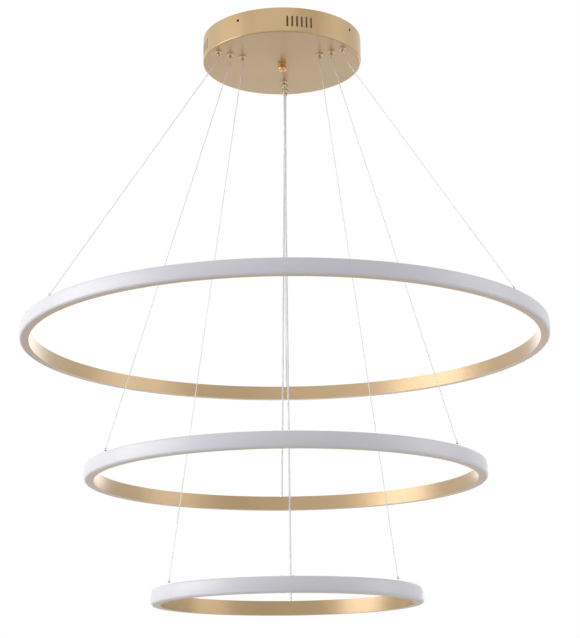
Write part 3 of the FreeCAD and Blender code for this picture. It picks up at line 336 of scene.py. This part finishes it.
# %% World and lamps
WORLD_LEVEL = 0.44
WORLD_LIGHT = (0.97, 0.95, 1.0, 1)
WHITE = (1, 1, 1, 1)


def looking_rays(tree):
    """An output that is 1 for the camera's, mirrored and see-through rays, and 0 for lighting."""
    path = tree.nodes.new("ShaderNodeLightPath")
    shown = path.outputs["Is Camera Ray"]
    for ray in ("Is Glossy Ray", "Is Transmission Ray"):
        either = tree.nodes.new("ShaderNodeMath")
        either.operation = "MAXIMUM"
        tree.links.new(shown, either.inputs[0])
        tree.links.new(path.outputs[ray], either.inputs[1])
        shown = either.outputs[0]
    return shown


def build_world():
    """White for camera, glossy and transmitted rays, a plain grey level for lighting."""
    world = bpy.data.worlds.new("studio_world")
    world.use_nodes = True
    tree = world.node_tree
    tree.nodes.clear()
    shown = looking_rays(tree)
    lighting = tree.nodes.new("ShaderNodeBackground")
    lighting.inputs["Color"].default_value = WORLD_LIGHT
    lighting.inputs["Strength"].default_value = WORLD_LEVEL
    white = tree.nodes.new("ShaderNodeBackground")
    white.inputs["Color"].default_value = WHITE
    white.inputs["Strength"].default_value = 1.0
    mix = tree.nodes.new("ShaderNodeMixShader")
    tree.links.new(shown, mix.inputs[0])
    tree.links.new(lighting.outputs[0], mix.inputs[1])
    tree.links.new(white.outputs[0], mix.inputs[2])
    output = tree.nodes.new("ShaderNodeOutputWorld")
    tree.links.new(mix.outputs[0], output.inputs["Surface"])
    bpy.context.scene.world = world


def area_lamp(name, place, target, width, height, watts):
    """A soft rectangular lamp at a place, turned to face a target."""
    data = bpy.data.lights.new(name, "AREA")
    data.shape = "RECTANGLE"
    data.size = width
    data.size_y = height
    data.energy = watts
    lamp = bpy.data.objects.new(name, data)
    aim = Vector(target) - Vector(place)
    turn = aim.to_track_quat("-Z", "Y").to_matrix().to_4x4()
    lamp.matrix_world = Matrix.Translation(Vector(place)) @ turn
    lamp.visible_camera = False
    bpy.context.scene.collection.objects.link(lamp)
    return lamp


build_world()
MIDDLE = (0, 0, -0.5)
ABOVE_DRUM = (0, 0, 0.3)
area_lamp("left_lamp", (-2.7, -0.6, -0.2), MIDDLE, 2.4, 2.0, 46)
area_lamp("right_lamp", (2.8, -0.5, -0.2), MIDDLE, 2.0, 2.4, 20)
area_lamp("back_lamp", (0.3, 2.8, -0.3), MIDDLE, 2.2, 1.2, 12)
area_lamp("front_lamp", (-0.6, -3.6, 1.0), ABOVE_DRUM, 4.0, 1.8, 11)

# %% [markdown]
# The floor is pale and reaches far out. The flat underside of the drum mirrors it, so it is shown
# mostly white to every ray that looks, and only a third of it carries the soft shadows.
#
# A round patch of ceiling closes the drum from above for the camera only; every other ray passes through
# it.
# Its grey-brown is painted shade that stands in for the shade inside the closed drum, so the vents look
# grey.
# It is part of the studio and not of the lamp, and from above one looks through it into the drum.

# %% Floor and patch of ceiling
FLOOR_SIZE = 60.0
FLOOR_HEIGHT = -2.4
PATCH_RADIUS = 0.1245
PATCH_HEIGHT = 0.0003
PATCH_CORNERS = 64

corner = FLOOR_SIZE / 2
floor_mesh = bpy.data.meshes.new("studio_floor")
floor_mesh.from_pydata(
    [(-corner, -corner, FLOOR_HEIGHT), (corner, -corner, FLOOR_HEIGHT),
     (corner, corner, FLOOR_HEIGHT), (-corner, corner, FLOOR_HEIGHT)], [], [(0, 1, 2, 3)]
)
studio_floor = bpy.data.objects.new("studio_floor", floor_mesh)
bpy.context.scene.collection.objects.link(studio_floor)

patch_turn = np.arange(PATCH_CORNERS) / PATCH_CORNERS * 2 * np.pi
patch_across = PATCH_RADIUS * np.cos(patch_turn)
patch_deep = PATCH_RADIUS * np.sin(patch_turn)
patch_rim = np.stack([patch_across, patch_deep, np.full(PATCH_CORNERS, PATCH_HEIGHT)], axis=1)
patch_mesh = bpy.data.meshes.new("ceiling_shade_patch")
patch_mesh.from_pydata(patch_rim.tolist(), [], [tuple(range(PATCH_CORNERS))[::-1]])
ceiling_shade_patch = bpy.data.objects.new("ceiling_shade_patch", patch_mesh)
bpy.context.scene.collection.objects.link(ceiling_shade_patch)
print("floor at", FLOOR_HEIGHT, "m, patch of ceiling", 2 * PATCH_RADIUS, "m across")

# %% [markdown]
# ## Finishes
#
# Each finish is a small node tree. The patterns read Object coordinates in metres, so their scale
# is the real one: the spray paint's faint orange peel is about a millimetre across, and brushing
# on the rolled aluminium runs round the ring.

# %% Helpers for the finishes
class Finish:
    """A material with one Principled surface and short calls for the nodes that feed it."""

    def __init__(self, name):
        self.material = bpy.data.materials.new(name)
        self.material.use_nodes = True
        self.tree = self.material.node_tree
        self.surface = self.tree.nodes["Principled BSDF"]
        self.place = self.tree.nodes.new("ShaderNodeTexCoord").outputs["Object"]

    def set(self, **values):
        """Plain values on the surface's own sockets; an underscore stands for a space."""
        for key, value in values.items():
            self.surface.inputs[key.replace("_", " ")].default_value = value
        return self

    def link(self, output, socket):
        """Feed one socket of the surface."""
        self.tree.links.new(output, self.surface.inputs[socket])

    def node(self, kind, inputs=None, **settings):
        """A new node, its settings and its inputs: each a value or another node's output."""
        made = self.tree.nodes.new(kind)
        for key, value in settings.items():
            setattr(made, key, value)
        for key, value in (inputs or {}).items():
            if isinstance(value, bpy.types.NodeSocket):
                self.tree.links.new(value, made.inputs[key])
            else:
                made.inputs[key].default_value = value
        return made

    def noise(self, scale, detail=3.0, place=None):
        """Cloudy values from 0 to 1; scale is in features to the metre."""
        node = self.node(
            "ShaderNodeTexNoise",
            {"Vector": place or self.place, "Scale": scale, "Detail": detail, "Roughness": 0.5},
        )
        return node.outputs["Fac"]

    def ramp(self, value, stops):
        """Colours along a value: stops lists (position, colour)."""
        node = self.node("ShaderNodeValToRGB", {"Fac": value})
        while len(node.color_ramp.elements) < len(stops):
            node.color_ramp.elements.new(0.5)
        for element, (position, colour) in zip(node.color_ramp.elements, stops):
            element.position = position
            element.color = (*colour, 1)
        return node.outputs["Color"]

    def span(self, value, low, high):
        """A value moved from the range 0 to 1 into the range low to high."""
        node = self.node(
            "ShaderNodeMapRange",
            {"Value": value, "From Min": 0.0, "From Max": 1.0, "To Min": low, "To Max": high},
        )
        return node.outputs["Result"]

    def bump(self, height, depth):
        """Raise the surface by a height pattern; depth is in metres."""
        node = self.node("ShaderNodeBump", {"Height": height, "Strength": 1.0, "Distance": depth})
        self.link(node.outputs["Normal"], "Normal")

    def calculate(self, operation, first, second=0.0):
        """One sum on two values."""
        return self.node("ShaderNodeMath", {0: first, 1: second}, operation=operation).outputs[0]


def srgb(red, green, blue):
    """A colour read from 0 to 255 on screen, as the linear light that the shader wants."""
    value = np.array([red, green, blue]) / 255
    linear = np.where(value <= 0.04045, value / 12.92, ((value + 0.055) / 1.055) ** 2.4)
    return tuple(float(part) for part in linear)


def dress(finish, *nodes):
    """Put a finish on model nodes or on new pieces."""
    for item in nodes:
        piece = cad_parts[item] if isinstance(item, str) else item
        piece.data.materials.clear()
        piece.data.materials.append(finish.material)


# %% [markdown]
# The drum is pressed steel with a sprayed champagne finish: small metal flakes in a clear binder.
# A fully metallic surface would lose the soft shade from the wall to the flat underside, and a plain
# paint would lose the faint mirror images of the grippers and of the knob. So the surface is a
# little over half metal, fairly smooth, under a very thin clear coat. A roughness that varies stays
# wholly above 0.274 or wholly below it in every finish here: there the filter that cleans the
# picture changes what it keeps of a surface, and a crossing shows as a speck with an outline.

# %% The drum's champagne paint
def champagne_paint():
    """Satin metallic paint: two close golds mixed by slow noise, fine orange peel in the gloss."""
    finish = Finish("champagne_paint").set(Metallic=0.6, Specular_IOR_Level=0.3)
    finish.set(Coat_Weight=0.12, Coat_Roughness=0.06)
    slow = finish.noise(14, 2)
    colour = finish.ramp(slow, [(0.3, srgb(191, 162, 120)), (0.7, srgb(197, 168, 126))])
    finish.link(colour, "Base Color")
    finish.link(finish.span(finish.noise(60), 0.28, 0.32), "Roughness")
    finish.bump(finish.noise(900, 2), 0.00001)
    return finish


# %% [markdown]
# The grippers, the knob and the screws are turned parts, polished or plated. One recipe makes them
# all: bare metal whose colour and gloss drift a little, as handling and the cutting tool leave them.
# The grain is named in features to the metre, so that a 10 mm part still shows some of it.

# %% Polished brass, nickel and steel
def polished_metal(name, dark, light, low, high, grain=300):
    """Bare metal: colour and gloss vary a little with noise, as handling leaves it."""
    finish = Finish(name).set(Metallic=1.0)
    cloud = finish.noise(grain / 4, 3)
    finish.link(finish.ramp(cloud, [(0.3, dark), (0.7, light)]), "Base Color")
    finish.link(finish.span(finish.noise(grain, 4), low, high), "Roughness")
    finish.bump(finish.noise(grain * 6, 2), 0.00001)
    return finish


# %% [markdown]
# The rings are rolled from an extruded channel and anodised. Rolling and brushing leave fine lines
# that run round the ring. A straight stretched noise would run across the ring at its sides, so the
# noise reads radius, height and a small share of the angle instead, which bends it to the circle.
# The sealed oxide on top is clear, so where it catches a lamp the gold turns pale: a rough coat.

# %% The rings' satin gold aluminium
def gold_aluminium():
    """Anodised gold: fine lines that run round the ring, from noise over height and radius."""
    finish = Finish("gold_aluminium").set(Metallic=0.7, Coat_Weight=0.6, Coat_Roughness=0.3)
    split = finish.node("ShaderNodeSeparateXYZ", {0: finish.place})
    across = split.outputs["X"]
    deep = split.outputs["Y"]
    square = finish.calculate(
        "ADD", finish.calculate("MULTIPLY", across, across), finish.calculate("MULTIPLY", deep, deep)
    )
    radius = finish.calculate("SQRT", square)
    angle = finish.calculate("ARCTAN2", across, deep)
    along = finish.calculate("MULTIPLY", angle, 0.02)
    lines = finish.node("ShaderNodeCombineXYZ", {0: radius, 1: split.outputs["Z"], 2: along}).outputs[0]
    brushed = finish.noise(2600, 2, place=lines)
    colour = finish.ramp(finish.noise(9, 2), [(0.3, srgb(180, 153, 114)), (0.7, srgb(188, 161, 122))])
    finish.link(colour, "Base Color")
    finish.link(finish.span(brushed, 0.33, 0.43), "Roughness")
    finish.bump(brushed, 0.000015)
    return finish


# %% [markdown]
# A cover of milk-white silicone is pushed into the outside of each channel and spreads the light of
# the strip behind it. Unlit, as here, it is a smooth white skin with a soft gloss. Light inside the
# material would only blur what is already plain, so it is left out and the shade stays clean.

# %% The white covers
def opal_cover():
    """Milk-white silicone: a soft gloss that drifts slowly, over a very fine grain."""
    finish = Finish("opal_cover").set(Specular_IOR_Level=0.45)
    cloud = finish.noise(6, 2)
    finish.link(finish.ramp(cloud, [(0.3, (0.80, 0.80, 0.84)), (0.7, (0.84, 0.84, 0.87))]), "Base Color")
    finish.link(finish.span(finish.noise(40, 3), 0.28, 0.34), "Roughness")
    finish.bump(finish.noise(500, 2), 0.00001)
    return finish


# %% [markdown]
# Inside the drum sit a driver in a white case, its board, a terminal block and leads. They are
# moulded or coated, so one recipe with two close colours and a fine grain serves them all, and the
# dark screws, the studio floor and the patch of ceiling too.

# %% Plain plastics, boards and dark screws
def moulded(name, dark, light, roughness=0.45, **values):
    """Moulded plastic or paint: two close colours, fine spark-eroded grain."""
    finish = Finish(name).set(**values)
    finish.link(finish.ramp(finish.noise(30), [(0.3, dark), (0.7, light)]), "Base Color")
    finish.link(finish.span(finish.noise(80), roughness - 0.06, roughness + 0.06), "Roughness")
    finish.bump(finish.noise(1800, 2), 0.00002)
    return finish


# %% [markdown]
# The power cord has a clear skin over pale cores. At this size the eye sees a pale line with
# slightly darker edges, so the skin passes a third of the light and keeps a pale body. The wire is
# twisted from thin strands: a slanting wave, counted in metres along and turns round, raises them.

# %% Clear cord and steel wire
def clear_sheath():
    """Clear PVC over pale cores: mostly see-through, with a grey body and a glossy skin."""
    finish = Finish("clear_sheath").set(Transmission_Weight=0.35, IOR=1.4)
    tint = finish.ramp(finish.noise(25), [(0.3, (0.9, 0.9, 0.91)), (0.7, (0.95, 0.95, 0.96))])
    finish.link(tint, "Base Color")
    finish.link(finish.span(finish.noise(200), 0.12, 0.2), "Roughness")
    return finish


def stranded_steel():
    """Twisted steel wire: slanting ridges from a wave over turns round and metres along."""
    finish = Finish("stranded_steel").set(Metallic=0.6)
    finish.place = finish.tree.nodes.new("ShaderNodeTexCoord").outputs["UV"]
    stretched = finish.node("ShaderNodeMapping", {"Vector": finish.place, "Scale": (420.0, 6.0, 1.0)})
    wave = finish.node(
        "ShaderNodeTexWave", {"Vector": stretched.outputs[0], "Scale": 1.0}, bands_direction="DIAGONAL"
    )
    strands = wave.outputs["Fac"]
    # The colour is painted shade: darker down in the grooves between the strands, lighter on their
    # crowns.
    groove_shade_tones = finish.ramp(strands, [(0.1, srgb(196, 196, 200)), (0.8, srgb(240, 240, 242))])
    finish.link(groove_shade_tones, "Base Color")
    finish.link(finish.span(strands, 0.42, 0.28), "Roughness")
    finish.bump(strands, 0.00008)
    return finish


def seen_from_below(finish):
    """Show a stage surface to the camera from below; every other ray passes through it."""
    seen = finish.node("ShaderNodeLightPath").outputs["Is Camera Ray"]
    back = finish.node("ShaderNodeNewGeometry").outputs["Backfacing"]
    solid = finish.calculate("SUBTRACT", seen, back)
    clear = finish.node("ShaderNodeBsdfTransparent").outputs[0]
    mix = finish.node("ShaderNodeMixShader", {0: solid, 1: clear, 2: finish.surface.outputs[0]})
    finish.tree.links.new(mix.outputs[0], finish.tree.nodes["Material Output"].inputs["Surface"])
    return finish


WHITE_SHARE = 0.68


def nearly_white(finish):
    """Show a stage surface as mostly white where it is looked at; the rest keeps its shadows."""
    amount = finish.calculate("MULTIPLY", looking_rays(finish.tree), WHITE_SHARE)
    white = finish.node("ShaderNodeEmission", {"Color": WHITE, "Strength": 1.0}).outputs[0]
    mix = finish.node("ShaderNodeMixShader", {0: amount, 1: finish.surface.outputs[0], 2: white})
    finish.tree.links.new(mix.outputs[0], finish.tree.nodes["Material Output"].inputs["Surface"])
    return finish


# %% [markdown]
# Each finish is now made once and given to the pieces that have it on the real lamp. The anchors on
# the rings are bright nickel, hardly seen against white, and the knob below the drum is brass.

# %% Dress every piece
paint = champagne_paint()
brass = polished_metal("polished_brass", srgb(214, 166, 104), srgb(228, 182, 122), 0.05, 0.1)
pale_brass = polished_metal("pale_brass", srgb(206, 184, 152), srgb(222, 202, 172), 0.06, 0.12)
# Painted shade: the patch's grey-brown stands in for the shade inside the closed drum, seen through the
# vents.
ceiling_painted_shade = moulded("ceiling_painted_shade", (0.5, 0.44, 0.38), (0.54, 0.48, 0.42), 0.8)
nickel = polished_metal("nickel", srgb(176, 170, 160), srgb(196, 190, 180), 0.28, 0.34)
bright_nickel = polished_metal("bright_nickel", srgb(206, 204, 200), srgb(224, 222, 218), 0.16, 0.26)
zinc = polished_metal("zinc_steel", srgb(168, 170, 174), srgb(190, 192, 196), 0.3, 0.45)
dark_screw = moulded("dark_screw", srgb(20, 19, 18), srgb(34, 32, 30), 0.5, Metallic=0.6)
gold = gold_aluminium()
opal = opal_cover()
case_white = moulded("driver_white", srgb(226, 226, 222), srgb(236, 236, 232))
board_green = moulded("board_green", srgb(22, 82, 46), srgb(30, 100, 58), 0.35)
component_black = moulded("component_black", srgb(24, 24, 26), srgb(40, 40, 44), 0.4)
block_white = moulded("block_white", srgb(222, 220, 212), srgb(234, 232, 226), 0.5)
brown_lead = moulded("brown_lead", srgb(104, 58, 34), srgb(124, 72, 44), 0.4)
strip_white = moulded("strip_white", srgb(228, 226, 214), srgb(238, 236, 226), 0.5)
sheath = clear_sheath()
steel_wire = stranded_steel()
floor_white = moulded("floor_white", (0.68, 0.68, 0.68), (0.71, 0.71, 0.71), 0.8)

dress(paint, "canopy_cup")
dress(pale_brass, "gripper_sleeves", "cord_glands", "gland_caps")
dress(brass, "finial_washer", "finial_nut", "earth_screw", "terminal_screws")
dress(nickel, "gripper_lock_nuts")
dress(zinc, "mounting_bar_upper", "mounting_bar_lower", "bar_rivets", "centre_stud", "stud_nut")
dress(zinc, *springs)
dress(dark_screw, "side_screws")
dress(case_white, "driver_case", "driver_lid")
dress(board_green, "driver_board")
dress(component_black, "driver_components")
dress(block_white, "terminal_block")
dress(brown_lead, "driver_input_leads")
dress(sheath, "driver_output_leads", *cords)
dress(steel_wire, *wires)
dress(nearly_white(floor_white), studio_floor)
# The patch shows its painted shade only to the camera, from below.
dress(seen_from_below(ceiling_painted_shade), ceiling_shade_patch)
for ring in RINGS:
    dress(gold, f"{ring}_channel")
    dress(opal, f"{ring}_diffuser")
    dress(strip_white, f"{ring}_led_strip")
    dress(zinc, f"{ring}_splice_plate", f"{ring}_splice_screws")
    dress(bright_nickel, f"{ring}_wire_anchors", f"{ring}_cord_inlet")
    for side in SIDES:
        dress(pale_brass, f"release_nipple_{ring}_{side}")

# %% [markdown]
# ## Colour
#
# The Standard view shows colours as they are written.

# %% Show colours as written and finish
bpy.context.scene.view_settings.view_transform = "Standard"
bpy.context.view_layer.update()
